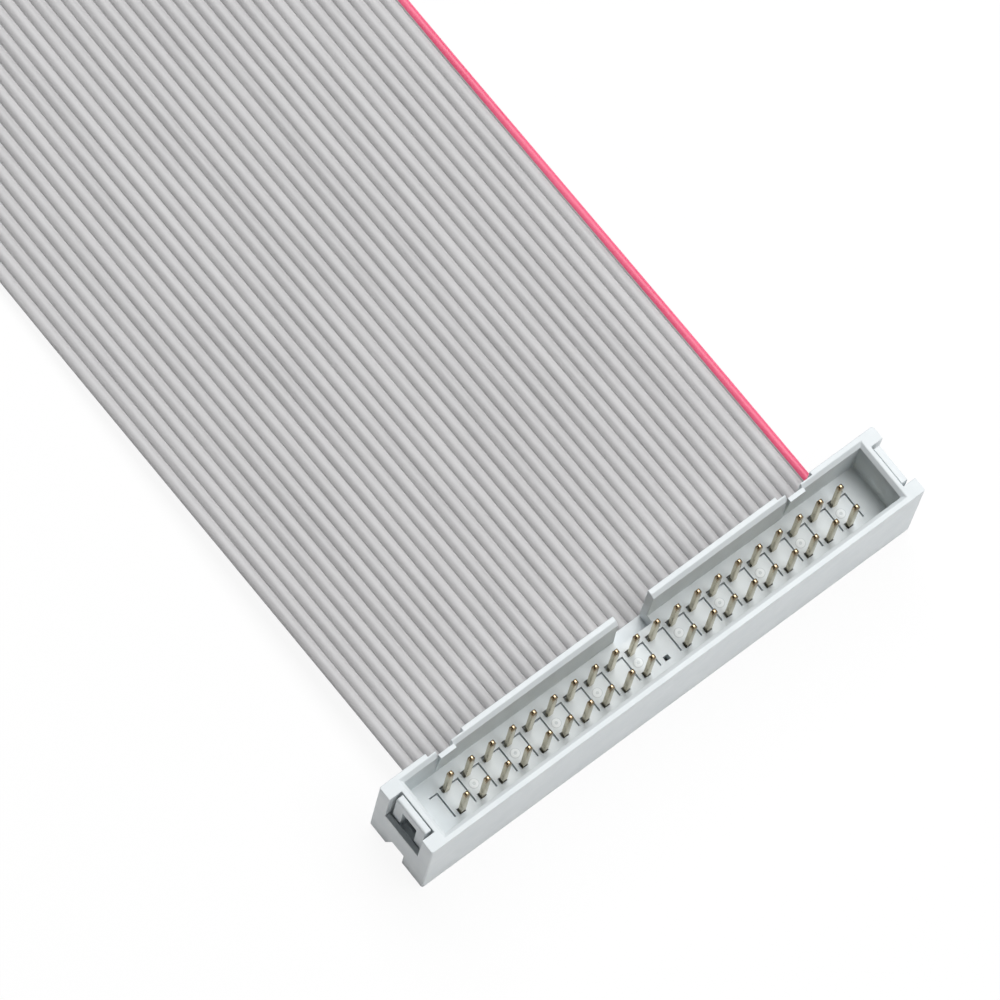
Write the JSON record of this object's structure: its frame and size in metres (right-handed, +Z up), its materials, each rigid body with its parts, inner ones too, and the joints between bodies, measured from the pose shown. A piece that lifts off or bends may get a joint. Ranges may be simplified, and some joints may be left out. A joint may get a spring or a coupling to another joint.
{
  "type": "ribbon cable",
  "caption": "Flat grey ribbon cable with a red edge wire, a keyed box header with gold pins at one end and a matching socket at the other.",
  "frame": {"origin": "middle of the header's underside, on the surface that the cable lies on", "axes": "+X along the header towards the red edge wire, +Y along the ribbon away from the header, +Z up out of the header's mouth"},
  "size_m": [0.061, 0.3061, 0.012],
  "materials": {
    "connector": "satin",
    "contact": "polished",
    "ribbon": "satin"
  },
  "bodies": {
    "root": {"header_body": "connector", "header_cover": "connector", "header_pins_back": "contact", "header_pins_front": "contact", "ribbon": "ribbon", "socket_body": "connector", "socket_cover": "connector", "socket_contacts_odd": "contact", "socket_contacts_even": "contact"}
  },
  "joints": []
}
